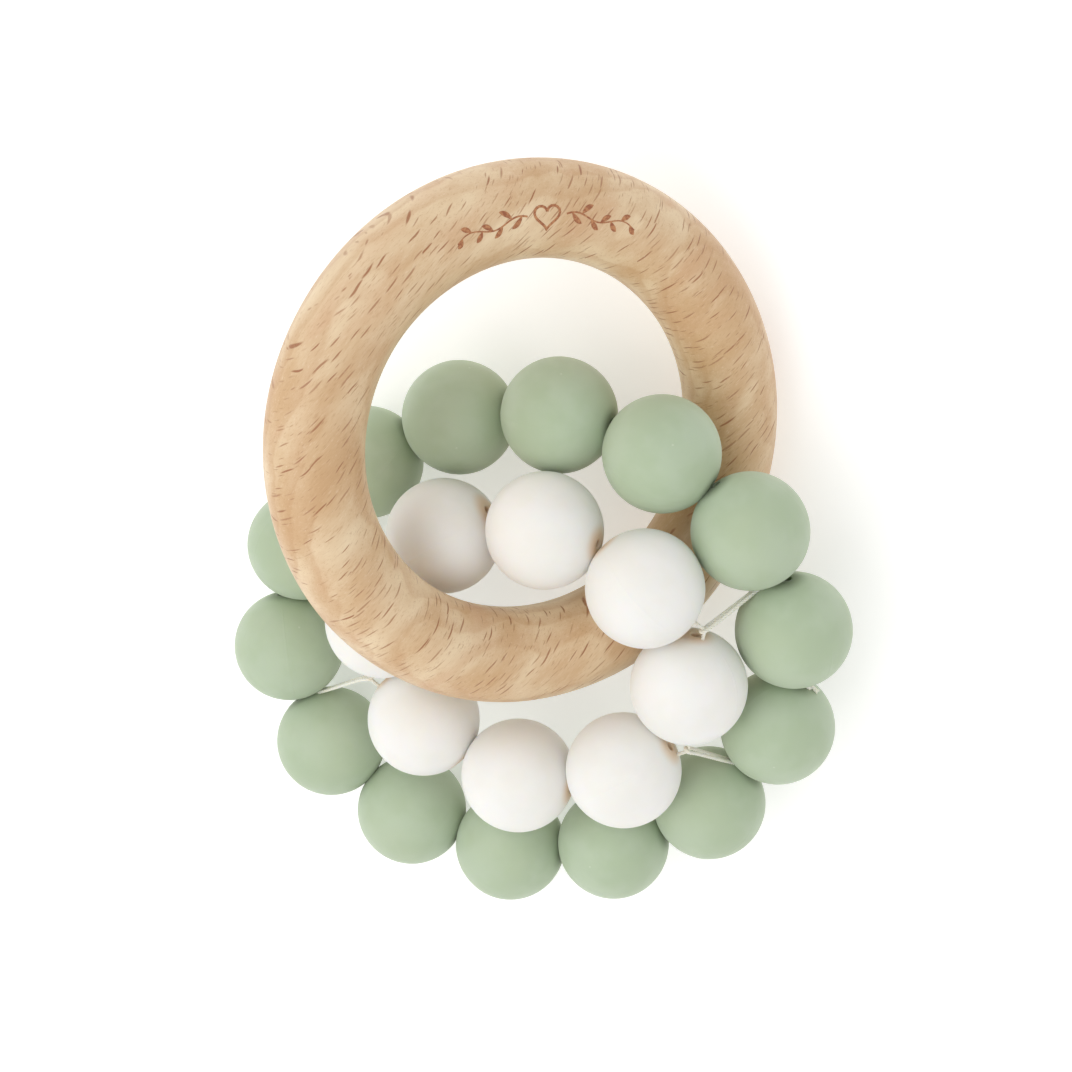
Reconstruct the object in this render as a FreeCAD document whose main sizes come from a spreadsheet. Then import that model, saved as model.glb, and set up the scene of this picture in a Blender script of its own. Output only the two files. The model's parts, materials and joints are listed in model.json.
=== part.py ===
"""Baby rattle: a beech ring threaded through a double loop of silicone beads.

The rattle is modelled as it lies on a table, the plane Z = 0, in millimetres. The outer loop of
green beads touches the table on one side and leans on the low side of the ring, and the ring
leans over the loop on its other side. Each loop is a tilted oval that waves a little out of its
plane, and the beads stand along it step by step until the loop closes.
"""
import FreeCAD, Part
import math
import os

Vector = FreeCAD.Vector

DIMENSIONS = (
    ("ring_outer_diameter", 70.5, "beech ring, across the outside"),
    ("ring_hole_diameter", 45.5, "beech ring, across the hole; its section is round"),
    ("ring_tilt", 33.7, "degrees between the ring's axis and the vertical"),
    ("ring_low_side", -3.1, "degrees from +X to the side where the ring meets the table"),
    ("ring_centre_x", 1.0, "ring's middle, from the middle of the whole rattle"),
    ("ring_centre_y", 16.45, "the same, along the rattle's length"),
    ("bead_diameter", 15.0, "every bead, green or cream"),
    ("bead_flat_diameter", 5.8, "the flat round each end of the bore"),
    ("bead_bore_diameter", 2.6, "wide enough to thread a doubled cord and to hide a knot"),
    ("bead_mouth_radius", 0.4, "rounding of the bore's edge"),
    ("green_step", 14.98, "centre to centre, where nothing leaves the gap"),
    ("green_hook_step", 15.1, "centre to centre, where the cord dips out of the gap"),
    ("cream_step", 15.1, "centre to centre"),
    ("cord_diameter", 0.5, "waxed twisted cord"),
    ("cord_bend_radius", 3.0, "cord pulled tight from one bore into the next"),
    ("hook_half_width", 0.6, "from the middle of a hook to each of its two strands"),
    ("hook_lead", 5.0, "the strands leave a gap square to the beads for this far"),
    ("hook_climb", 1.4, "how steeply the strands climb out of a green gap, over its narrow side"),
    ("hook_clearance", 0.8, "from a bead's surface to the middle of a strand that passes over it"),
    ("knot_radius", 0.8, "overhand knot, pulled tight"),
    ("knot_offset", 2.4, "from the cord's line out to the knot"),
    ("tail_length", 2.0, "cut ends of the knot"),
    ("green_centre_x", 0.1, "green loop's middle, from the middle of the whole rattle"),
    ("green_centre_y", -13.0, "along the rattle's length"),
    ("green_tilt", 9.7, "degrees from level"),
    ("green_low_side", -143.7, "degrees from +X to the loop's lowest side"),
    ("green_oval", 0.066, "share by which the loop is longer one way and shorter the other"),
    ("green_long_side", -24.8, "degrees round the loop, from its low side"),
    ("green_wave", 1.7, "saddle out of the loop's plane"),
    ("green_wave_side", 4.8, "degrees round the loop to the saddle's first crest"),
    ("green_ripple", 1.2, "three-lobed wave out of the loop's plane"),
    ("green_ripple_side", -45.8, "degrees round the loop to the ripple's first crest"),
    ("green_first", 175.5, "where the first bead stands, degrees from the low side"),
    ("cream_centre_x", 1.1, "cream loop's middle, inside the green one"),
    ("cream_centre_y", -13.1, "along the rattle's length"),
    ("cream_rise", 7.9, "height of the cream loop's middle over the green loop's"),
    ("cream_tilt", 12.7, "degrees from level"),
    ("cream_low_side", -149.4, "degrees from +X to the loop's lowest side"),
    ("cream_oval", 0.087, "share, as on the green loop"),
    ("cream_long_side", -34.6, "degrees round the loop, from its low side"),
    ("cream_wave", 0.6, "saddle out of the loop's plane"),
    ("cream_wave_side", 23.0, "degrees round the loop to the saddle's first crest"),
    ("cream_ripple", 1.2, "three-lobed wave out of the loop's plane"),
    ("cream_ripple_side", -38.3, "degrees round the loop to the ripple's first crest"),
    ("cream_first", -80.5, "where the first cream bead stands, degrees from the low side"),
)

GREEN_BEADS = 14
CREAM_BEADS = 8
# The outer cord hooks round the inner one at four places: after each of these green beads it
# dips to the gap after the cream bead beside it.
HOOKS = {5: 8, 7: 7, 12: 4, 14: 3}
KNOT_AFTER = 13

doc = FreeCAD.newDocument("baby_rattle")
sheet = doc.addObject("Spreadsheet::Sheet", "Dimensions")
for row, (alias, value, note) in enumerate(DIMENSIONS, start=1):
    sheet.set(f"A{row}", alias)
    sheet.set(f"B{row}", str(value))
    sheet.set(f"C{row}", note)
    sheet.setAlias(f"B{row}", alias)
doc.recompute()


def size(alias):
    return float(getattr(sheet, alias))


def unit(vector):
    return vector / vector.Length


def across(vector, axis):
    """The part of vector that is square to the unit vector axis, as a unit vector."""
    return unit(vector - axis * vector.dot(axis))


def solve(function, low, high):
    """Where a rising function crosses zero, by halving."""
    for _ in range(60):
        middle = (low + high) / 2
        if function(middle) < 0:
            low = middle
        else:
            high = middle
    return (low + high) / 2


def tilted_axes(tilt, low_side):
    """Unit vectors of a plane tilted by tilt degrees: down its slope, level, and square to it."""
    slope, side = math.radians(tilt), math.radians(low_side)
    down = Vector(math.cos(slope) * math.cos(side), math.cos(slope) * math.sin(side), -math.sin(slope))
    level = Vector(-math.sin(side), math.cos(side), 0)
    return down, level, down.cross(level)


# ---------------------------------------------------------------- the loops of beads


class Loop:
    """Bead centres, bead axes and the cord's corners of one closed loop."""

    def __init__(self, name, steps, sense):
        self.axes = tilted_axes(size(f"{name}_tilt"), size(f"{name}_low_side"))
        self.middle = Vector(size(f"{name}_centre_x"), size(f"{name}_centre_y"), 0)
        self.oval, self.long_side = size(f"{name}_oval"), math.radians(size(f"{name}_long_side"))
        self.wave, self.wave_side = size(f"{name}_wave"), math.radians(size(f"{name}_wave_side"))
        self.ripple = size(f"{name}_ripple")
        self.ripple_side = math.radians(size(f"{name}_ripple_side"))
        self.first = math.radians(size(f"{name}_first"))
        self.steps, self.sense = steps, sense
        mean = sum(steps) / math.tau
        radius = solve(self.opening, 0.9 * mean, 1.1 * mean)
        self.centres = self.string(radius)

    def point(self, radius, angle):
        down, level, out = self.axes
        reach = radius * (1 + self.oval * math.cos(2 * (angle - self.long_side)))
        lift = self.wave * math.cos(2 * (angle - self.wave_side))
        lift += self.ripple * math.cos(3 * (angle - self.ripple_side))
        return self.middle + down * reach * math.cos(angle) + level * reach * math.sin(angle) + out * lift

    def string(self, radius):
        """Bead centres that stand the given steps apart along the oval."""
        angle = self.first
        centres = [self.point(radius, angle)]
        for step in self.steps[:-1]:
            last = centres[-1]
            turn = solve(
                lambda turn: (self.point(radius, angle + self.sense * turn) - last).Length - step,
                0.0,
                2 * step / radius,
            )
            angle += self.sense * turn
            centres.append(self.point(radius, angle))
        return centres

    def opening(self, radius):
        """How much wider than its step the last gap is."""
        centres = self.string(radius)
        return (centres[0] - centres[-1]).Length - self.steps[-1]

    def lift(self, height):
        self.centres = [centre + Vector(0, 0, height) for centre in self.centres]
        self.middle = sum(self.centres, Vector()) / len(self.centres)

    def axis(self, index):
        """Direction of a bead's bore, along the loop. Beads are counted from 0."""
        count = len(self.centres)
        return unit(self.centres[(index + 1) % count] - self.centres[index - 1])

    def corner(self, index):
        """Where the cord turns in the gap after a bead."""
        after = (index + 1) % len(self.centres)
        here, there = self.centres[index], self.centres[after]
        half_turn = self.axis(index).getAngle(self.axis(after)) / 2
        reach = (there - here).Length / 2 / math.cos(half_turn)
        return (here + self.axis(index) * reach + there - self.axis(after) * reach) / 2

    def along(self, index):
        """Direction of the cord in the gap after a bead."""
        after = (index + 1) % len(self.centres)
        return unit(self.centres[after] - self.centres[index])


green_steps = [size("green_step")] * GREEN_BEADS
for bead in HOOKS:
    green_steps[bead - 1] = size("green_hook_step")
green = Loop("green", green_steps, 1)
cream = Loop("cream", [size("cream_step")] * CREAM_BEADS, -1)

# The lowest green bead rests on the table.
rest_height = size("bead_diameter") / 2 - min(centre.z for centre in green.centres)
green.lift(rest_height)
cream.lift(rest_height + size("cream_rise"))


# ---------------------------------------------------------------- beads and ring


def bead_sketch(body):
    """Half the bead's section: X is the distance from the bore's axis, Y lies along it."""
    sketch = body.newObject("Sketcher::SketchObject", "Section")
    plane = next(item for item in body.Origin.OriginFeatures if item.Role == "XZ_Plane")
    sketch.AttachmentSupport = [(plane, "")]
    sketch.MapMode = "FlatFace"
    radius, flat = size("bead_diameter") / 2, size("bead_flat_diameter") / 2
    bore = size("bead_bore_diameter") / 2
    half = math.sqrt(radius**2 - flat**2)
    lean = math.atan2(half, flat)
    circle = Part.Circle(Vector(), Vector(0, 0, 1), radius)
    arc = sketch.addGeometry(Part.ArcOfCircle(circle, -lean, lean))
    top = sketch.addGeometry(Part.LineSegment(Vector(flat, half), Vector(bore, half)))
    wall = sketch.addGeometry(Part.LineSegment(Vector(bore, half), Vector(bore, -half)))
    bottom = sketch.addGeometry(Part.LineSegment(Vector(bore, -half), Vector(flat, -half)))
    return sketch, arc, top, wall, bottom


def constrain_bead(sketch, arc, top, wall, bottom):
    """Ties the section to the sheet's diameters. Point 1 is a start, 2 an end, 3 a centre."""
    import Sketcher

    origin, start, end, centre = -1, 1, 2, 3
    add = sketch.addConstraint
    add(Sketcher.Constraint("Coincident", arc, centre, origin, start))
    add(Sketcher.Constraint("Coincident", arc, end, top, start))
    add(Sketcher.Constraint("Coincident", top, end, wall, start))
    add(Sketcher.Constraint("Coincident", wall, end, bottom, start))
    add(Sketcher.Constraint("Coincident", bottom, end, arc, start))
    add(Sketcher.Constraint("Horizontal", top))
    add(Sketcher.Constraint("Vertical", wall))
    add(Sketcher.Constraint("Horizontal", bottom))
    radius = add(Sketcher.Constraint("Radius", arc, size("bead_diameter") / 2))
    upper = add(Sketcher.Constraint("DistanceX", origin, start, arc, end, size("bead_flat_diameter") / 2))
    lower = add(Sketcher.Constraint("DistanceX", origin, start, arc, start, size("bead_flat_diameter") / 2))
    bore = add(Sketcher.Constraint("DistanceX", origin, start, wall, start, size("bead_bore_diameter") / 2))
    sketch.setExpression(f"Constraints[{radius}]", "Dimensions.bead_diameter / 2")
    sketch.setExpression(f"Constraints[{upper}]", "Dimensions.bead_flat_diameter / 2")
    sketch.setExpression(f"Constraints[{lower}]", "Dimensions.bead_flat_diameter / 2")
    sketch.setExpression(f"Constraints[{bore}]", "Dimensions.bead_bore_diameter / 2")


def mouth_edges(shape):
    """Names of the two circles where the bore meets the flats."""
    bore = size("bead_bore_diameter") / 2
    names = []
    for number, edge in enumerate(shape.Edges, start=1):
        if hasattr(edge.Curve, "Radius") and abs(edge.Curve.Radius - bore) < 0.01:
            names.append(f"Edge{number}")
    return names


def make_bead(label, centre, axis):
    body = doc.addObject("PartDesign::Body", label)
    body.Label = label
    sketch, arc, top, wall, bottom = bead_sketch(body)
    constrain_bead(sketch, arc, top, wall, bottom)
    ball = body.newObject("PartDesign::Revolution", "Ball")
    ball.Profile = sketch
    ball.ReferenceAxis = (sketch, ["V_Axis"])
    ball.Angle = 360
    doc.recompute()
    mouth = body.newObject("PartDesign::Fillet", "Mouth")
    mouth.Base = (ball, mouth_edges(ball.Shape))
    mouth.setExpression("Radius", "Dimensions.bead_mouth_radius")
    body.Placement = FreeCAD.Placement(centre, FreeCAD.Rotation(Vector(0, 0, 1), axis))
    return body


def make_ring():
    ring = doc.addObject("Part::Torus", "wooden_ring")
    ring.Label = "wooden_ring"
    ring.setExpression("Radius1", "(Dimensions.ring_outer_diameter + Dimensions.ring_hole_diameter) / 4")
    ring.setExpression("Radius2", "(Dimensions.ring_outer_diameter - Dimensions.ring_hole_diameter) / 4")
    centreline = (size("ring_outer_diameter") + size("ring_hole_diameter")) / 4
    section = (size("ring_outer_diameter") - size("ring_hole_diameter")) / 4
    down, level, axis = tilted_axes(size("ring_tilt"), size("ring_low_side"))
    # The low side rests on the table.
    height = section - centreline * down.z
    centre = Vector(size("ring_centre_x"), size("ring_centre_y"), height)
    ring.Placement = FreeCAD.Placement(centre, FreeCAD.Rotation(down, level, axis, "ZXY"))
    return ring


# ---------------------------------------------------------------- cords


def tube(points, radii, diameter):
    """A round cord along straight runs that tangent arcs join at every inner point."""
    edges = []
    bends = []
    start = points[0]
    for before, corner, after, radius in zip(points, points[1:], points[2:], radii):
        arrive, leave = unit(corner - before), unit(after - corner)
        half_turn = arrive.getAngle(leave) / 2
        reach = radius * math.tan(half_turn)
        inward = unit(leave - arrive)
        middle = corner + inward * radius * (1 / math.cos(half_turn) - 1)
        arc_start, arc_end = corner - arrive * reach, corner + leave * reach
        edges.append(Part.LineSegment(start, arc_start).toShape())
        edges.append(Part.Arc(arc_start, middle, arc_end).toShape())
        bends.append(radius)
        start = arc_end
    edges.append(Part.LineSegment(start, points[-1]).toShape())
    path = Part.Wire(edges)
    rim = Part.Circle(points[0], points[1] - points[0], diameter / 2)
    cord = path.makePipeShell([Part.Wire(rim.toShape())], True, False)
    section = math.pi * diameter**2 / 4
    print(f"cord {path.Length:.1f} mm, bends {min(bends):.2f} to {max(bends):.2f} mm")
    print(f"its volume {cord.Volume:.2f} mm3, its section times its length {section * path.Length:.2f}")
    return cord


def fitted_radii(points, wanted):
    """Bend radii, as asked for but never more than 0.45 of the shorter run allows."""
    radii = []
    for before, corner, after, radius in zip(points, points[1:], points[2:], wanted):
        half_turn = unit(corner - before).getAngle(unit(after - corner)) / 2
        shorter = min((corner - before).Length, (after - corner).Length)
        radii.append(min(radius, 0.45 * shorter / math.tan(half_turn)))
    return radii


def inner_cord_points():
    """Starts and ends in the last cream bead's bore, where the knot is hidden."""
    home = cream.centres[-1]
    run = cream.axis(CREAM_BEADS - 1) * size("knot_radius") * 0.5
    corners = [cream.corner(index) for index in range(-1, CREAM_BEADS - 1)]
    return [home + run, *corners, home - run]


def past_beads(start, end):
    """Points that hold a straight run of the cord off each bead that it would rub on."""
    reach = size("bead_diameter") / 2 + size("hook_clearance")
    run = end - start
    points = []
    for centre in green.centres + cream.centres:
        share = (centre - start).dot(run) / run.Length**2
        nearest = start + run * share
        if 0.1 < share < 0.9 and (nearest - centre).Length < reach:
            points.append(centre + unit(nearest - centre) * reach)
    return points


def hook_points(green_gap, cream_gap):
    """The cord dips from a green gap, round the inner cord in a cream gap, and back."""
    outer, inner = green.corner(green_gap), cream.corner(cream_gap)
    before, after = cream.axis(cream_gap), cream.axis((cream_gap + 1) % CREAM_BEADS)
    # The inner cord rounds its corner on the inside, by the sagitta of its bend.
    cut = size("cord_bend_radius") * (1 / math.cos(before.getAngle(after) / 2) - 1)
    inner = inner + unit(after - before) * cut
    upward = green.axis(green_gap).cross(green.axis((green_gap + 1) % GREEN_BEADS))
    inward = across(inner - outer, green.along(green_gap))
    leave = across(inward + unit(upward) * size("hook_climb"), green.along(green_gap))
    arrive = across(outer - inner, cream.along(cream_gap))
    outer_side = green.along(green_gap).cross(leave)
    inner_side = across(outer_side, cream.along(cream_gap))
    inner_side = across(inner_side, arrive)
    width, lead = size("hook_half_width"), size("hook_lead")
    strand = size("cord_diameter") * 0.6
    strands = []
    for side in (1, -1):
        near = outer + outer_side * strand * side
        far = inner + inner_side * width * side
        climbed, reached = near + leave * lead, far + arrive * lead
        strands.append([near, climbed, *past_beads(climbed, reached), reached, far - arrive * width])
    there, back = strands
    return there + back[::-1]


def outer_cord_points():
    """From the knot, once round the green beads with a hook at each hooked gap, to the knot."""
    knot = knot_place()
    along = green.along(KNOT_AFTER - 1)
    corner = green.corner(KNOT_AFTER - 1)
    strand = size("cord_diameter") * 0.6
    points = [knot + along * strand, corner + along * strand]
    for step in range(GREEN_BEADS - 1):
        bead = (KNOT_AFTER + step) % GREEN_BEADS + 1
        if bead in HOOKS:
            points += hook_points(bead - 1, HOOKS[bead] - 1)
        else:
            points.append(green.corner(bead - 1))
    return points + [corner - along * strand, knot - along * strand]


def knot_place():
    """In the groove between two green beads, on the loop's outside."""
    corner = green.corner(KNOT_AFTER - 1)
    outward = across(corner - green.middle, green.along(KNOT_AFTER - 1))
    return corner + outward * size("knot_offset")


def make_cord(label, points, wanted_radii):
    cord = doc.addObject("Part::Feature", label)
    cord.Label = label
    cord.Shape = tube(points, fitted_radii(points, wanted_radii), size("cord_diameter"))
    return cord


def make_outer_knot():
    """A small round knot with two cut ends that splay away from the loop."""
    knot = doc.addObject("Part::Sphere", "knot_ball")
    knot.setExpression("Radius", "Dimensions.knot_radius")
    knot.Placement.Base = knot_place()
    along = green.along(KNOT_AFTER - 1)
    outward = unit(knot_place() - green.corner(KNOT_AFTER - 1))
    pieces = [knot]
    for number, lean in enumerate((-0.3, 0.42), start=1):
        tail = doc.addObject("Part::Cylinder", f"tail_{number}")
        tail.setExpression("Radius", "Dimensions.cord_diameter / 2")
        tail.setExpression("Height", "Dimensions.tail_length")
        direction = unit(outward + along * lean)
        tail.Placement = FreeCAD.Placement(knot_place(), FreeCAD.Rotation(Vector(0, 0, 1), direction))
        pieces.append(tail)
    fused = doc.addObject("Part::MultiFuse", "outer_knot")
    fused.Label = "outer_knot"
    fused.Shapes = pieces
    return fused


def make_inner_knot():
    knot = doc.addObject("Part::Sphere", "inner_knot")
    knot.Label = "inner_knot"
    knot.setExpression("Radius", "Dimensions.knot_radius")
    knot.Placement.Base = cream.centres[-1]
    return knot


# ---------------------------------------------------------------- build, check and write

nodes = [make_ring()]
for number in range(GREEN_BEADS):
    nodes.append(make_bead(f"green_bead_{number + 1:02d}", green.centres[number], green.axis(number)))
for number in range(CREAM_BEADS):
    nodes.append(make_bead(f"cream_bead_{number + 1:02d}", cream.centres[number], cream.axis(number)))
inner_points = inner_cord_points()
outer_points = outer_cord_points()
bend = size("cord_bend_radius")
nodes.append(make_cord("inner_cord", inner_points, [bend] * len(inner_points)))
nodes.append(make_cord("outer_cord", outer_points, [bend] * len(outer_points)))
nodes += [make_outer_knot(), make_inner_knot()]
doc.recompute()

for item in doc.Objects:
    if "Invalid" in item.State or "Error" in item.State:
        raise RuntimeError(f"{item.Label} failed: {item.State}")
for node in nodes:
    if node.Shape.isNull() or not node.Shape.isValid():
        raise RuntimeError(f"{node.Label} has no valid shape")

os.makedirs("parts", exist_ok=True)
for node in nodes:
    node.Shape.exportStep(f"parts/{node.Label}.step")
print(f"{len(nodes)} parts written")
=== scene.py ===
"""Looks of the baby rattle: a beech ring through a double loop of silicone beads on cords."""
import json
import math
import random

import bpy
import numpy as np
from mathutils import Matrix, Vector


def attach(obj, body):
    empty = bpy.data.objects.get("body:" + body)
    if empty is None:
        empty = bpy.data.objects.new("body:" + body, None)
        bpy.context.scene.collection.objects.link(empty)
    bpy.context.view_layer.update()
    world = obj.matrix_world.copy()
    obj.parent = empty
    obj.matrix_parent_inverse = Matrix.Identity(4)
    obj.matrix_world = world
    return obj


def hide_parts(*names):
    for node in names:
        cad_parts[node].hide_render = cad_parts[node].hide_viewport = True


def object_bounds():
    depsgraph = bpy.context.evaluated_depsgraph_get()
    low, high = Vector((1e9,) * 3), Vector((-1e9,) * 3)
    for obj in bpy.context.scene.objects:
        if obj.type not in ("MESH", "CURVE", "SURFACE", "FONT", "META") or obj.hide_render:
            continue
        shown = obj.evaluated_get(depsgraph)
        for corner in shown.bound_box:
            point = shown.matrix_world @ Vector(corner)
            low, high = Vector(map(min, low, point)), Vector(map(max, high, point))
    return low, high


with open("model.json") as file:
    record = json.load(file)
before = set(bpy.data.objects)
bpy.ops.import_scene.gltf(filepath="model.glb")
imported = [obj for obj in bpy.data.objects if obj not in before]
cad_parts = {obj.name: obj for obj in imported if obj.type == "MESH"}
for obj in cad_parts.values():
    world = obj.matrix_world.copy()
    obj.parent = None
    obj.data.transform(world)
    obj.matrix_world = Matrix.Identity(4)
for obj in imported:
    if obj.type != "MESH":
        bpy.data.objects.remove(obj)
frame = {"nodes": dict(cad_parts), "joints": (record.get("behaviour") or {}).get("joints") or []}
cad_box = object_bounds()

MM = 0.001
# Soft beads, pressed together: a little fuller than the rigid ones, with a closer bore.
BEAD_RADIUS = 7.65 * MM
FLAT_RADIUS = 1.3 * MM
BORE_RADIUS = 0.58 * MM
MOUTH_RADIUS = 0.17 * MM
RING_CENTRELINE = 29.0 * MM
RING_SECTION = 6.25 * MM
CORD_RADIUS = 0.25 * MM
WHITE = (1.0, 1.0, 1.0, 1.0)

joints = {joint["child"]: joint for joint in frame["joints"]}
greens = sorted(name for name in frame["nodes"] if name.startswith("green_bead"))
creams = sorted(name for name in frame["nodes"] if name.startswith("cream_bead"))


def unit(vector):
    return vector / vector.length


def across(vector, axis):
    """The part of vector that is square to the unit vector axis, as a unit vector."""
    return unit(vector - axis * vector.dot(axis))


# ---------------------------------------------------------------- node helpers


class Nodes:
    """Short ways to build one material's node tree."""

    def __init__(self, name):
        self.material = bpy.data.materials.new(name)
        self.material.use_nodes = True
        self.tree = self.material.node_tree
        self.tree.nodes.clear()
        self.shader = self.tree.nodes.new("ShaderNodeBsdfPrincipled")
        output = self.tree.nodes.new("ShaderNodeOutputMaterial")
        self.tree.links.new(self.shader.outputs["BSDF"], output.inputs["Surface"])
        self.place = self.tree.nodes.new("ShaderNodeTexCoord").outputs["Object"]

    def feed(self, socket, value):
        if isinstance(value, bpy.types.NodeSocket):
            self.tree.links.new(value, socket)
        elif value is not None:
            socket.default_value = value

    def math(self, operation, first, second=None, third=None):
        node = self.tree.nodes.new("ShaderNodeMath")
        node.operation = operation
        for socket, value in zip(node.inputs, (first, second, third)):
            self.feed(socket, value)
        return node.outputs[0]

    def vector(self, operation, first, second=None):
        node = self.tree.nodes.new("ShaderNodeVectorMath")
        node.operation = operation
        self.feed(node.inputs[0], first)
        self.feed(node.inputs[1], second)
        return node.outputs["Value" if operation in ("LENGTH", "DOT_PRODUCT") else "Vector"]

    def noise(self, place, scale, detail=2.0, rough=0.5):
        node = self.tree.nodes.new("ShaderNodeTexNoise")
        self.feed(node.inputs["Vector"], place)
        self.feed(node.inputs["Scale"], scale)
        self.feed(node.inputs["Detail"], detail)
        self.feed(node.inputs["Roughness"], rough)
        return node.outputs["Fac"]

    def cells(self, place, scale):
        node = self.tree.nodes.new("ShaderNodeTexVoronoi")
        self.feed(node.inputs["Vector"], place)
        self.feed(node.inputs["Scale"], scale)
        return node.outputs

    def remap(self, value, low, high, to_low=0.0, to_high=1.0):
        node = self.tree.nodes.new("ShaderNodeMapRange")
        node.interpolation_type = "SMOOTHSTEP"
        for socket, item in zip(node.inputs, (value, low, high, to_low, to_high)):
            self.feed(socket, item)
        return node.outputs["Result"]

    def mix(self, share, first, second):
        node = self.tree.nodes.new("ShaderNodeMix")
        node.data_type = "RGBA"
        # The sockets for a colour mix: share, both colours, and the result.
        self.feed(node.inputs[0], share)
        self.feed(node.inputs[6], first)
        self.feed(node.inputs[7], second)
        return node.outputs[2]

    def bump(self, height, distance, strength, normal=None):
        node = self.tree.nodes.new("ShaderNodeBump")
        self.feed(node.inputs["Height"], height)
        self.feed(node.inputs["Distance"], distance)
        self.feed(node.inputs["Strength"], strength)
        self.feed(node.inputs["Normal"], normal)
        return node.outputs["Normal"]

    def split(self, place):
        node = self.tree.nodes.new("ShaderNodeSeparateXYZ")
        self.feed(node.inputs[0], place)
        return node.outputs

    def set(self, **values):
        for name, value in values.items():
            self.feed(self.shader.inputs[name.replace("_", " ")], value)


def colour(red, green, blue):
    """A linear colour from the 0 to 255 values that it shows on a screen."""
    return tuple(((value / 255 + 0.055) / 1.055) ** 2.4 if value > 10 else value / 3295
                 for value in (red, green, blue)) + (1.0,)


# ---------------------------------------------------------------- materials

# The width of one year's growth in the beech.
YEAR_RING = 2.7 * MM


def silicone(name, light, dark, warm, crevice_shade, depth, colours_of_depth):
    """Matte moulded silicone: soft, slightly see-through, with a fine satin texture, dust, and painted shade
    round each end of the bore.
    """
    n = Nodes(name)
    cloud = n.noise(n.place, 180.0, 3.0, 0.5)
    body = n.mix(n.remap(cloud, 0.35, 0.65), light, dark)
    blush = n.remap(n.noise(n.place, 60.0, 2.0, 0.5), 0.5, 0.75, 0.0, 0.35)
    body = n.mix(blush, body, warm)
    # Painted shade, warm on the cream beads: darker round each end of the bore, where the neighbour presses
    # and the crevice between them lies in shade.
    from_bore = n.vector("LENGTH", n.vector("MULTIPLY", n.place, (1.0, 1.0, 0.0)))
    shade_distance = n.math("ADD", from_bore, n.math("MULTIPLY", n.math("SUBTRACT", cloud, 0.5), 0.0012))
    body = n.mix(n.remap(shade_distance, 0.0010, 0.0030, 0.65, 0.0), body, crevice_shade)
    specks = n.cells(n.place, 520.0)
    dust = n.math("MULTIPLY", n.remap(specks["Distance"], 0.03, 0.10, 1.0, 0.0),
                  n.remap(n.split(specks["Color"])[0], 0.86, 0.9))
    body = n.mix(n.math("MULTIPLY", dust, 0.2), body, (0.9, 0.9, 0.86, 1.0))
    grain = n.noise(n.place, 5200.0, 3.0, 0.6)
    orange_peel = n.noise(n.place, 900.0, 2.0, 0.5)
    normal = n.bump(orange_peel, 0.00002, 0.5)
    normal = n.bump(grain, 0.000012, 0.6, normal)
    rough = n.remap(n.noise(n.place, 420.0, 3.0, 0.55), 0.3, 0.7, 0.52, 0.62)
    n.set(Base_Color=body, Roughness=rough, Normal=normal, IOR=1.41, Specular_IOR_Level=0.4,
          Subsurface_Weight=depth, Subsurface_Radius=colours_of_depth, Subsurface_Scale=0.0016,
          Sheen_Weight=0.12, Sheen_Roughness=0.6, Sheen_Tint=(1.0, 1.0, 0.97, 1.0))
    return n.material


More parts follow.
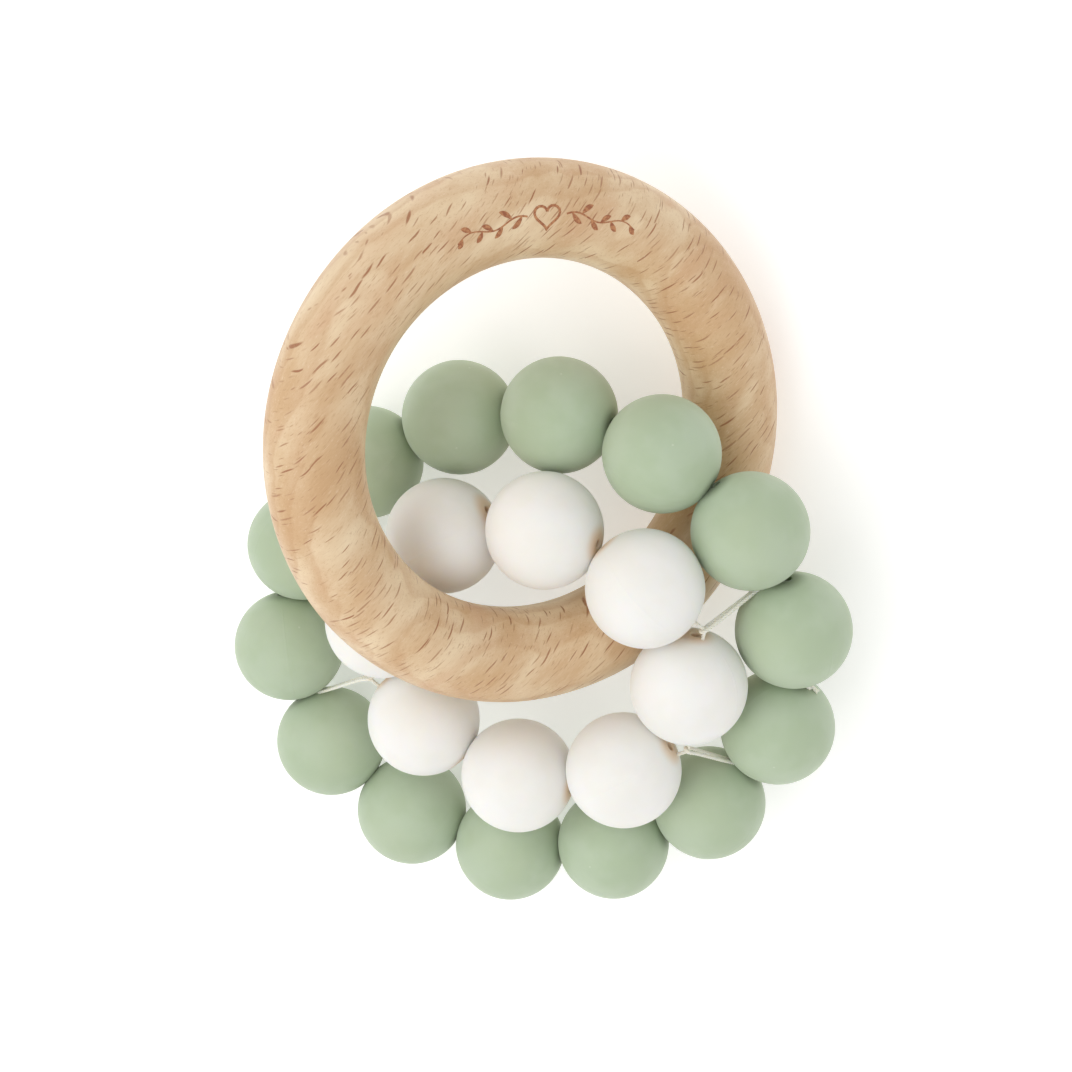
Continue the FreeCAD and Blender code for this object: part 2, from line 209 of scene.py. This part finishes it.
def beech():
    """Steamed beech, oiled: soft growth bands, many short brown ray flecks and fine pores along the fibre."""
    n = Nodes("beech")
    turned = n.tree.nodes.new("ShaderNodeMapping")
    turned.vector_type = "TEXTURE"
    turned.inputs["Rotation"].default_value = grain_rotation
    n.feed(turned.inputs["Vector"], n.place)
    place = turned.outputs["Vector"]
    # The texture frame: X along the fibre, Y across the rays' sheets, Z out through the growth layers.
    sway = n.noise(n.vector("MULTIPLY", place, (30.0, 70.0, 70.0)), 1.0, 3.0, 0.55)
    layer = n.math("ADD", n.split(place)[2], n.math("MULTIPLY", n.math("SUBTRACT", sway, 0.5), 0.012))
    rings = n.math("FRACT", n.math("MULTIPLY", layer, 1 / YEAR_RING))
    late = n.math("MULTIPLY", n.remap(rings, 0.2, 0.85), n.remap(rings, 0.85, 1.0, 1.0, 0.0))
    broad = n.noise(n.vector("MULTIPLY", place, (45.0, 130.0, 130.0)), 1.0, 4.0, 0.55)
    body = n.mix(n.remap(broad, 0.32, 0.68), colour(232, 209, 174), colour(208, 172, 130))
    body = n.mix(n.math("MULTIPLY", late, 0.28), body, colour(189, 142, 96))
    rosy = n.noise(n.vector("MULTIPLY", place, (60.0, 200.0, 200.0)), 1.0, 2.0, 0.5)
    body = n.mix(n.remap(rosy, 0.52, 0.74, 0.0, 0.35), body, colour(206, 160, 122))

    def flecks(cell, half, seed_shift, keep, thin):
        """Lens-shaped sheets, cell and half-size in millimetres along fibre, across and through."""
        scaled = n.vector("MULTIPLY", n.vector("ADD", place, seed_shift), tuple(1000 / size for size in cell))
        wander = n.noise(place, 210.0, 1.0, 0.5)
        shift = n.tree.nodes.new("ShaderNodeCombineXYZ")
        n.feed(shift.inputs[1], n.math("MULTIPLY", n.math("SUBTRACT", wander, 0.5), 0.9))
        scaled = n.vector("ADD", scaled, shift.outputs[0])
        cells = n.cells(scaled, 1.0)
        offset = n.vector("SUBTRACT", scaled, cells["Position"])
        widen = tuple(size / part for size, part in zip(cell, half))
        lens = n.vector("LENGTH", n.vector("MULTIPLY", offset, widen))
        chance = n.split(cells["Color"])
        limit = n.remap(chance[1], 0.0, 1.0, 0.55, 1.0)
        edge = n.math("DIVIDE", lens, limit)
        mask = n.remap(edge, 1.0 - thin, 1.0, 1.0, 0.0)
        mask = n.math("MULTIPLY", mask, n.math("LESS_THAN", chance[0], keep))
        return n.math("MULTIPLY", mask, n.remap(chance[2], 0.0, 1.0, 0.6, 1.0))

    large = flecks((3.0, 1.15, 2.3), (1.85, 0.145, 1.6), (0.0, 0.0, 0.0), 0.85, 0.5)
    small = flecks((1.5, 0.6, 1.7), (0.6, 0.075, 0.9), (0.013, 0.007, 0.003), 0.75, 0.6)
    crowd = n.remap(n.noise(n.vector("MULTIPLY", place, (60.0, 110.0, 110.0)), 1.0, 2.0, 0.5), 0.38, 0.58)
    small = n.math("MULTIPLY", small, n.math("MULTIPLY_ADD", crowd, 0.6, 0.12))
    fleck = n.math("MAXIMUM", large, small)
    body = n.mix(n.math("MULTIPLY", fleck, 0.88), body, colour(154, 95, 58))
    pores = n.noise(n.vector("MULTIPLY", place, (1100.0, 8000.0, 8000.0)), 1.0, 2.0, 0.6)
    streaks = n.noise(n.vector("MULTIPLY", place, (300.0, 2400.0, 2400.0)), 1.0, 3.0, 0.6)
    fine = n.math("ADD", n.math("MULTIPLY", pores, 0.6), n.math("MULTIPLY", streaks, 0.4))
    body = n.mix(n.remap(fine, 0.52, 0.7, 0.0, 0.5), body, colour(184, 140, 100))
    body = n.mix(n.remap(fine, 0.28, 0.47, 0.35, 0.0), body, colour(240, 220, 192))
    height = n.math("SUBTRACT", n.math("MULTIPLY", fine, -0.5), n.math("MULTIPLY", fleck, 0.8))
    normal = n.bump(height, 0.00004, 0.6)
    rough = n.remap(fine, 0.3, 0.7, 0.40, 0.55)
    n.set(Base_Color=body, Roughness=rough, Normal=normal, IOR=1.45, Specular_IOR_Level=0.42,
          Coat_Weight=0.18, Coat_Roughness=0.3)
    return n.material


def burnt():
    """Brown laser burn, uneven where the fibres took it more or less."""
    n = Nodes("burnt_beech")
    patch = n.noise(n.place, 2400.0, 3.0, 0.6)
    body = n.mix(n.remap(patch, 0.35, 0.65), colour(150, 88, 58), colour(190, 134, 92))
    n.set(Base_Color=body, Roughness=n.remap(patch, 0.3, 0.7, 0.6, 0.8), Normal=n.bump(patch, 0.00002, 0.6))
    return n.material


def cord_material():
    """Twisted cotton-wrapped cord: fine fibres along each ply."""
    n = Nodes("cord")
    fuzz = n.noise(n.place, 6500.0, 3.0, 0.65)
    body = n.mix(n.remap(fuzz, 0.3, 0.7), colour(251, 249, 238), colour(238, 233, 214))
    n.set(Base_Color=body, Roughness=n.remap(fuzz, 0.3, 0.7, 0.7, 0.85), Normal=n.bump(fuzz, 0.00003, 0.7),
          Subsurface_Weight=0.4, Subsurface_Radius=(1.0, 0.85, 0.6), Subsurface_Scale=0.0004,
          Sheen_Weight=0.25, Sheen_Roughness=0.5)
    return n.material


def floor_material():
    """Plain matte white paper, lit a little by itself so that shadows on it stay faint."""
    n = Nodes("pale_floor")
    cloud = n.noise(n.place, 9.0, 3.0, 0.5)
    body = n.mix(n.remap(cloud, 0.3, 0.7), (0.93, 0.93, 0.925, 1.0), (0.90, 0.90, 0.895, 1.0))
    n.set(Base_Color=body, Roughness=0.9, Specular_IOR_Level=0.1,
          Emission_Color=WHITE, Emission_Strength=0.3,
          Normal=n.bump(n.noise(n.place, 900.0, 2.0, 0.5), 0.00005, 0.2))
    return n.material


# ---------------------------------------------------------------- meshes


def mesh_object(name, points, faces, material, smooth=True):
    mesh = bpy.data.meshes.new(name)
    mesh.from_pydata([tuple(point) for point in points], [], faces)
    mesh.update()
    if smooth:
        mesh.shade_smooth()
    mesh.materials.append(material)
    piece = bpy.data.objects.new(name, mesh)
    bpy.context.scene.collection.objects.link(piece)
    return piece


# The rounding between a bead's flat and its ball, and how finely each part of its section is drawn.
RIM = 0.3 * MM
MOUTH_STEPS, RIM_STEPS, BALL_STEPS = 6, 6, 30
# How wide the raised line on a bead is, in degrees, and how much smaller the ball is made for it.
SEAM_WIDTH = 0.9
SEAM_ROOM = 0.03 * MM


def bead_profile():
    """Half the section, from the bore's middle out through the upper mouth, over the ball and back in."""
    half = math.sqrt(BEAD_RADIUS**2 - FLAT_RADIUS**2)
    points = [(BORE_RADIUS, share * (half - MOUTH_RADIUS)) for share in (0.0, 0.35, 0.7, 0.92, 1.0)]
    for step in range(1, MOUTH_STEPS + 1):
        turn = math.pi / 2 * step / MOUTH_STEPS
        points.append((BORE_RADIUS + MOUTH_RADIUS * (1 - math.cos(turn)),
                       half - MOUTH_RADIUS * (1 - math.sin(turn))))
    lean = math.asin(FLAT_RADIUS / BEAD_RADIUS)
    inner_rim = FLAT_RADIUS - RIM
    points.append(((BORE_RADIUS + MOUTH_RADIUS + inner_rim) / 2, half))
    lead = lean + RIM / BEAD_RADIUS
    start, corner = (inner_rim, half), (FLAT_RADIUS, half)
    end = (BEAD_RADIUS * math.sin(lead), BEAD_RADIUS * math.cos(lead))
    for step in range(RIM_STEPS + 1):
        t = step / RIM_STEPS
        points.append(tuple((1 - t) ** 2 * a + 2 * t * (1 - t) * b + t * t * c
                            for a, b, c in zip(start, corner, end)))
    for step in range(1, BALL_STEPS + 1):
        angle = lead + (math.pi / 2 - lead) * step / BALL_STEPS
        points.append((BEAD_RADIUS * math.sin(angle), BEAD_RADIUS * math.cos(angle)))
    return points + [(reach, -height) for reach, height in points[-2:0:-1]]


def bead_angles():
    """Angles round the bore, closer together at the two sides of the moulding line."""
    seam = [math.radians(value) for value in (-4.0, -2.4, -1.4, -0.7, 0.0, 0.7, 1.4, 2.4, 4.0)]
    between = [math.radians(4.0 + 172.0 * step / 42) for step in range(1, 42)]
    half = seam + between
    return half + [angle + math.pi for angle in half]


def make_bead(name, material, rng):
    """A moulded ball with flats and a bore, and the fine raised line where the mould's halves met."""
    profile, angles = bead_profile(), bead_angles()
    ridge = rng.uniform(0.018, 0.03) * MM
    slip = rng.uniform(-0.012, 0.012) * MM
    phases = [rng.uniform(0, math.tau) for _ in range(4)]
    points = []
    for reach, height in profile:
        ball = math.hypot(reach, height) / BEAD_RADIUS
        outside = 1.0 if ball > 0.995 else 0.0
        for angle in angles:
            off = math.degrees(min(abs(math.remainder(angle, math.pi)), math.pi))
            line = math.exp(-((off / SEAM_WIDTH) ** 2)) * ridge
            step = slip if math.sin(angle) > 0 else 0.0
            wave = (0.02 * MM * math.sin(2 * angle + phases[0] + 160 * height)
                    * math.sin(3 * angle + phases[1]))
            wave += 0.015 * MM * math.sin(angle + phases[2]) * math.sin(400 * height + phases[3])
            grown = reach + outside * (line + step + wave) - outside * SEAM_ROOM
            points.append((grown * math.cos(angle), grown * math.sin(angle), height))
    rows, columns = len(profile), len(angles)
    faces = []
    for row in range(rows):
        after = (row + 1) % rows
        for column in range(columns):
            beside = (column + 1) % columns
            faces.append((row * columns + column, row * columns + beside,
                          after * columns + beside, after * columns + column))
    # The profile runs up the bore and out, so its faces look outwards when turned round.
    return mesh_object(name, points, [face[::-1] for face in faces], material)


def place_bead(node, material, rng):
    joint = joints[node]
    piece = make_bead(node.replace("_bead_", "_silicone_bead_"), material, rng)
    turn = Vector((0, 0, 1)).rotation_difference(Vector(joint["axis"])).to_matrix().to_4x4()
    roll = Matrix.Rotation(rng.uniform(0, math.tau), 4, "Z")
    piece.matrix_world = Matrix.Translation(Vector(joint["pos_m"])) @ turn @ roll
    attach(piece, node)
    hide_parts(node)
    return piece


# ---------------------------------------------------------------- the ring

ring_joint = joints["ring"]
ring_axis = unit(Vector(ring_joint["axis"]))
ring_centre = Vector(ring_joint["pos_m"])
# The ring's own frame: X down its slope, Y level, Z along its axis.
ring_level = unit(Vector((0, 0, 1)).cross(ring_axis))
ring_frame = Matrix.Translation(ring_centre) @ Matrix(
    (ring_level.cross(ring_axis), ring_level, ring_axis)).transposed().to_4x4()
# The plank that the ring was turned from: its fibre's direction, and square to its rays' sheets.
fibre = unit(Vector((0.626, 0.729, -0.276)))
across_rays = across(Vector((-0.69, 0.74, 0.72)), fibre)
plank = Matrix((fibre, across_rays, fibre.cross(across_rays))).transposed()
grain_rotation = (ring_frame.to_3x3().inverted() @ plank).to_euler()


def ring_point(around, section, stand=0.0):
    """A point on the ring: around its axis, round its section (0 outside, 90 degrees on top)."""
    reach = RING_CENTRELINE + (RING_SECTION + stand) * math.cos(section)
    return Vector((reach * math.cos(around), reach * math.sin(around),
                   (RING_SECTION + stand) * math.sin(section)))


def wear(around, section):
    """Turned on a lathe and sanded by hand, so the section is very slightly uneven."""
    uneven = 0.035 * MM * math.sin(3 * around + 0.7) * math.cos(2 * section + around)
    return uneven + 0.02 * MM * math.sin(7 * around + 2 * section) - 0.05 * MM


def make_ring(material):
    rows, columns = 384, 112
    points = []
    for row in range(rows):
        around = math.tau * row / rows
        for column in range(columns):
            section = math.tau * column / columns
            points.append(ring_point(around, section, wear(around, section)))
    faces = []
    for row in range(rows):
        after = (row + 1) % rows
        for column in range(columns):
            beside = (column + 1) % columns
            faces.append((row * columns + column, after * columns + column,
                          after * columns + beside, row * columns + beside))
    ring = mesh_object("beech_ring", points, faces, material)
    ring.matrix_world = ring_frame
    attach(ring, "ring")
    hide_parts("wooden_ring")


# Where the garland's middle stands on the ring, round the axis and round the section.
GARLAND_AROUND, GARLAND_SECTION = math.radians(95.0), math.radians(92.0)


def ribbon(path, widths, stand):
    """Points and faces of a thin burnt stroke. The path is in millimetres along and across the ring."""
    tangents = np.gradient(path, axis=0)
    tangents /= np.linalg.norm(tangents, axis=1)[:, None]
    normals = np.stack([-tangents[:, 1], tangents[:, 0]], axis=1)
    points = []
    reach = RING_CENTRELINE + RING_SECTION * math.cos(GARLAND_SECTION)
    for share in (-0.5, -0.25, 0.0, 0.25, 0.5):
        for along, over in path + normals * (share * widths)[:, None]:
            around = GARLAND_AROUND - along * MM / reach
            section = GARLAND_SECTION - over * MM / RING_SECTION
            points.append(ring_point(around, section, wear(around, section) + stand * MM))
    count = len(path)
    faces = [(row * count + step, row * count + step + 1,
              (row + 1) * count + step + 1, (row + 1) * count + step)
             for row in range(4) for step in range(count - 1)]
    return points, faces


def make_garland(material):
    """A generic burnt decoration: a heart with a leafy stem on each side."""
    count = 33
    share = np.linspace(0, 1, count)
    turn = share * math.tau
    heart_size = 0.105
    heart = np.stack([heart_size * 16 * np.sin(turn) ** 3,
                      heart_size * (13 * np.cos(turn) - 5 * np.cos(2 * turn)
                                    - 2 * np.cos(3 * turn) - np.cos(4 * turn))], axis=1)
    strokes = [(heart, np.full(count, 0.34), 0.012)]
    for side in (-1, 1):
        run = 2.6 + share * 9.6
        stem = np.stack([side * run, 0.45 * np.sin(run * 0.95 - 2.0)], axis=1)
        strokes.append((stem, 0.24 - 0.1 * share, 0.012))
        for number in range(7):
            start = 3.3 + number * 1.35
            root = np.array([side * start, 0.45 * math.sin(start * 0.95 - 2.0)])
            rise = 1 if number % 2 else -1
            length = 1.75 - 0.1 * number
            bow = np.stack([side * share * length * 0.85,
                            rise * length * (0.75 * share + 0.12 * np.sin(share * math.pi))], axis=1)
            strokes.append((root + bow, 0.62 * np.sin(share * math.pi) ** 0.8 + 0.04, 0.016))
    points, faces = [], []
    for path, widths, stand in strokes:
        more_points, more_faces = ribbon(path, widths, stand)
        faces += [tuple(index + len(points) for index in face) for face in more_faces]
        points += more_points
    garland = mesh_object("burnt_garland", points, faces, material)
    garland.matrix_world = ring_frame
    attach(garland, "ring")


# ---------------------------------------------------------------- cords


class Loop:
    """The beads of one closed loop, and where its cord turns in each gap."""

    def __init__(self, names):
        self.centres = [Vector(joints[name]["pos_m"]) for name in names]
        self.axes = [unit(Vector(joints[name]["axis"])) for name in names]
        self.count = len(names)
        self.middle = sum(self.centres, Vector()) / self.count

    def along(self, gap):
        return unit(self.centres[(gap + 1) % self.count] - self.centres[gap])

    def corner(self, gap, share=1.0):
        """Where two bores meet, or only a share of the way there from the middle of the beads' contact."""
        after = (gap + 1) % self.count
        here, there = self.centres[gap], self.centres[after]
        reach = (there - here).length / 2 / math.cos(self.axes[gap].angle(self.axes[after]) / 2)
        bores_meet = (here + self.axes[gap] * reach + there - self.axes[after] * reach) / 2
        return (here + there) / 2 * (1 - share) + bores_meet * share

    def pulled(self, gap):
        """Where a hook holds this loop's cord, out of the gap."""
        corner = self.corner(gap)
        return corner + across(corner - self.middle, self.along(gap)) * PULLED_OUT


def smooth_line(name, route):
    """Points along the NURBS curve that the route's points pull into shape."""
    curve = bpy.data.curves.new(name, "CURVE")
    curve.dimensions, curve.resolution_u = "3D", 48
    spline = curve.splines.new("NURBS")
    spline.points.add(len(route) - 1)
    for point, place in zip(spline.points, route):
        point.co = (*place, 1.0)
    spline.order_u, spline.use_endpoint_u = 3, True
    holder = bpy.data.objects.new(name, curve)
    mesh = bpy.data.meshes.new_from_object(holder)
    line = np.array([tuple(vertex.co) for vertex in mesh.vertices])
    bpy.data.objects.remove(holder)
    bpy.data.curves.remove(curve)
    bpy.data.meshes.remove(mesh)
    return line


def even_steps(line, step):
    """The same line with its points an even distance apart."""
    lengths = np.concatenate([[0.0], np.cumsum(np.linalg.norm(np.diff(line, axis=0), axis=1))])
    wanted = np.linspace(0, lengths[-1], max(3, int(lengths[-1] / step)))
    return np.stack([np.interp(wanted, lengths, line[:, axis]) for axis in range(3)], axis=1)


def carried_frames(line):
    """Two directions square to the line at each of its points, which don't spin along it."""
    tangents = np.gradient(line, axis=0)
    tangents /= np.linalg.norm(tangents, axis=1)[:, None]
    side = np.cross(tangents[0], (0.31, 0.17, 0.93))
    sides = []
    for tangent in tangents:
        side = side - tangent * side.dot(tangent)
        side /= np.linalg.norm(side)
        sides.append(side)
    sides = np.array(sides)
    return sides, np.cross(tangents, sides)


def sweep(line, radius):
    """Points and faces of a round tube with closed ends. radius is one number or one for each point."""
    sides, others = carried_frames(line)
    count, around = len(line), 8
    radii = np.broadcast_to(radius, (count,))[:, None]
    rings = [line + radii * (sides * math.cos(turn) + others * math.sin(turn))
             for turn in np.arange(around) * math.tau / around]
    points = np.stack(rings, axis=1).reshape(-1, 3)
    faces = [(row * around + column, row * around + (column + 1) % around,
              (row + 1) * around + (column + 1) % around, (row + 1) * around + column)
             for row in range(count - 1) for column in range(around)]
    faces += [tuple(range(around))[::-1],
              tuple((count - 1) * around + column for column in range(around))]
    return points, faces


# The distance between two rings of points along a cord, and the length of one turn of its plies.
CORD_STEP = 0.13 * MM
PLY_PITCH = 1.5 * MM


def twisted(lines, thickness, pitch, fray=0.0):
    """Three plies wound round each line. With fray, they part towards the line's end."""
    all_points, all_faces, total = [], [], 0
    for line in lines:
        line = even_steps(line, CORD_STEP)
        sides, others = carried_frames(line)
        run = np.concatenate([[0.0], np.cumsum(np.linalg.norm(np.diff(line, axis=0), axis=1))])
        spread = 1.0 + fray * np.clip(run / run[-1] - 0.35, 0, 1) ** 2
        for ply in range(3):
            turn = math.tau * (run / pitch + ply / 3)
            offset = sides * np.cos(turn)[:, None] + others * np.sin(turn)[:, None]
            strand = line + offset * (spread * thickness * 0.5)[:, None]
            points, faces = sweep(strand, thickness * 0.54)
            all_points.append(points)
            all_faces += [tuple(index + total for index in face) for face in faces]
            total += len(points)
    return np.vstack(all_points), all_faces


green, cream = Loop(greens), Loop(creams)
# The outer cord hooks round the inner one after each of these green beads, in the gap after the
# cream bead that is given for it.
HOOKS = {5: 8, 7: 7, 12: 4, 14: 3}
# A tight cord cuts into the soft beads at a corner, by this share of the way to where the bores meet.
CUT_CORNER = 0.35
# A hook's strands leave the green beads on the loop's inside, and pull the inner cord out of its gap.
HOOK_CORNER = -0.4
PULLED_OUT = 1.6 * MM
# Half the length that a cord takes for its turn in a gap: plain, and where a hook holds it.
GAP_BEND, HOOK_BEND = 0.8, 0.3
# The outer cord's knot stands in the groove after this green bead, this far out.
KNOT_AFTER = 13
KNOT_OUT = 1.2 * MM


def hook_route(green_gap, cream_gap):
    """Two strands side by side from a green gap to a cream one, and round the inner cord there."""
    outer, inner = green.corner(green_gap, HOOK_CORNER), cream.pulled(cream_gap)
    arrive = across(outer - inner, cream.along(cream_gap))
    leave = across(inner - outer, green.along(green_gap))
    outer_side = green.along(green_gap).cross(leave)
    outer_side = across(outer_side, leave)
    inner_side = across(across(outer_side, cream.along(cream_gap)), arrive)
    there, back = [], []
    for strands, side in ((there, 1), (back, -1)):
        near = outer + outer_side * CORD_RADIUS * 1.1 * side
        far = inner + inner_side * CORD_RADIUS * 1.9 * side
        strands += [near, near + leave * 1.6 * MM, far + arrive * 1.6 * MM, far + arrive * 0.5 * MM,
                    far - arrive * 0.45 * MM]
    return there + back[::-1]


def outer_route(knot):
    """From the knot once round the green beads, with a hook at each hooked gap, to the knot."""
    gap = KNOT_AFTER - 1
    along, corner = green.along(gap), green.corner(gap)
    points = [knot + along * CORD_RADIUS, corner + along * CORD_RADIUS * 1.2]
    for step in range(green.count - 1):
        bead = (KNOT_AFTER + step) % green.count
        points.append(green.centres[bead])
        if bead + 1 in HOOKS:
            points += hook_route(bead, HOOKS[bead + 1] - 1)
        else:
            turning = green.corner(bead, CUT_CORNER)
            bend = green.along(bead) * GAP_BEND * MM
            points += [turning - bend, turning + bend]
    points.append(green.centres[gap])
    return points + [corner - along * CORD_RADIUS * 1.2, knot - along * CORD_RADIUS]


def inner_route():
    """Round the cream beads, from and to the bore where the knot is hidden."""
    home, axis = cream.centres[-1], cream.axes[-1]
    points = [home + axis * 0.4 * MM]
    for gap in range(-1, cream.count - 1):
        gap = gap % cream.count
        along = cream.along(gap)
        hooked = gap + 1 in HOOKS.values()
        corner = cream.pulled(gap) if hooked else cream.corner(gap, CUT_CORNER)
        bend = along * (HOOK_BEND if hooked else GAP_BEND) * MM
        points += [corner - bend, corner + bend, cream.centres[(gap + 1) % cream.count]]
    return points[:-1] + [home - axis * 0.4 * MM]


def knot_lines(centre, outward, along):
    """An overhand knot pulled tight: a small trefoil with its two ends cut short."""
    upward = outward.cross(along)
    turns = np.linspace(0, math.tau, 90)
    reach = 0.42 * MM * (1.15 + 0.55 * np.cos(3 * turns))
    x, y, z = reach * np.cos(2 * turns), reach * np.sin(2 * turns), 0.3 * MM * np.sin(3 * turns)
    body = np.array(centre) + np.outer(x, along) + np.outer(y, upward) + np.outer(z, outward)
    ends = []
    for lean, rise, length in ((-0.75, 0.3, 1.6), (0.85, 0.4, 1.3)):
        way = unit(outward + along * lean + upward * rise)
        droop = Vector((0, 0, -0.25 * MM))
        ends.append(np.array([tuple(centre + way * length * MM * share + droop * share * share)
                              for share in np.linspace(0.1, 1.0, 12)]))
    return body, ends


def cord_piece(name, points, faces, replaced):
    piece = mesh_object(name, points, faces, thread)
    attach(piece, "bead_loop")
    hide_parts(replaced)


# ---------------------------------------------------------------- scene

rng = random.Random(7)
# Each material's colour for round the ends of its bore is painted shade for the crevices between beads.
green_material = silicone(
    "green_silicone", light=colour(181, 196, 170), dark=colour(175, 191, 162),
    warm=colour(184, 195, 165), crevice_shade=colour(112, 128, 92),
    depth=0.22, colours_of_depth=(0.8, 1.0, 0.5))
cream_material = silicone(
    "cream_silicone", light=colour(240, 239, 236), dark=colour(237, 236, 231),
    warm=colour(240, 236, 228), crevice_shade=colour(222, 186, 142),
    depth=0.42, colours_of_depth=(1.0, 0.78, 0.5))
for node in greens:
    place_bead(node, green_material, rng)
for node in creams:
    place_bead(node, cream_material, rng)
make_ring(beech())
make_garland(burnt())
thread = cord_material()
gap = KNOT_AFTER - 1
outward = across(green.corner(gap) - green.middle, green.along(gap))
knot = green.corner(gap) + outward * KNOT_OUT
plies = CORD_RADIUS, PLY_PITCH
for name, route in (("outer", outer_route(knot)), ("inner", inner_route())):
    cord_piece(f"{name}_cord_plies", *twisted([smooth_line(name, route)], *plies), f"{name}_cord")
knot_body, knot_ends = knot_lines(knot, outward, green.along(gap))
knot_points, knot_faces = twisted([knot_body], *plies)
end_points, end_faces = twisted(knot_ends, *plies, fray=2.2)
knot_faces += [tuple(index + len(knot_points) for index in face) for face in end_faces]
cord_piece("outer_knot_tied", np.vstack([knot_points, end_points]), knot_faces, "outer_knot")
bore = cream.axes[-1]
hidden_body, _ = knot_lines(cream.centres[-1], bore, bore.orthogonal().normalized())
cord_piece("inner_knot_tied", *twisted([hidden_body], *plies), "inner_knot")

# Floor, lights and camera.
# The soft beads reach this much lower than the rigid ones, so the floor is as much lower.
SOFT_SAG = 0.16 * MM
FLOOR_REACH = 6
ground = cad_box[0][2] - SOFT_SAG
corners = [(x * FLOOR_REACH, y * FLOOR_REACH, ground) for x, y in ((-1, -1), (1, -1), (1, 1), (-1, 1))]
floor = mesh_object("floor", corners, [(0, 1, 2, 3)], floor_material(), smooth=False)


def softbox(name, place, width, height, power, tint):
    """A soft light that looks at the rattle."""
    light = bpy.data.lights.new(name, "AREA")
    light.shape, light.size, light.size_y = "RECTANGLE", width, height
    light.energy, light.color = power, tint
    box = bpy.data.objects.new(name, light)
    box.location = place
    box.rotation_euler = (AIM - Vector(place)).to_track_quat("-Z", "Y").to_euler()
    bpy.context.scene.collection.objects.link(box)


# The middle of the rattle's height, which the lights are aimed at.
AIM = Vector((0, 0, 0.02))
softbox("key", (-0.35, -0.3, 0.85), 0.9, 0.8, 2.9, (1.0, 0.99, 0.97))
softbox("fill", (0.8, -0.2, 0.5), 0.7, 0.7, 0.5, (1.0, 0.98, 0.95))
softbox("top", (-0.5, 0.4, 0.9), 0.9, 0.9, 2.5, (0.98, 0.99, 1.0))

world = bpy.data.worlds.new("studio")
world.use_nodes = True
backdrop = world.node_tree.nodes["Background"].inputs
backdrop["Color"].default_value = WHITE
backdrop["Strength"].default_value = 0.68
bpy.context.scene.world = world
bpy.context.scene.view_settings.view_transform = "Standard"

camera_data = bpy.data.cameras.new("camera")
camera_data.lens, camera_data.sensor_width, camera_data.clip_start = 73.67, 36.0, 0.01
camera = bpy.data.objects.new("camera", camera_data)
# The camera stands here, with its back and its top towards these.
stand = Matrix.Translation((0.0458, 0.0686, 0.2938))
back = unit(Vector((0.1556, 0.2306, 0.9605)))
up = across(Vector((-0.0462, 0.9730, -0.2261)), back)
camera.matrix_world = stand @ Matrix((up.cross(back), up, back)).transposed().to_4x4()
bpy.context.scene.collection.objects.link(camera)
bpy.context.scene.camera = camera
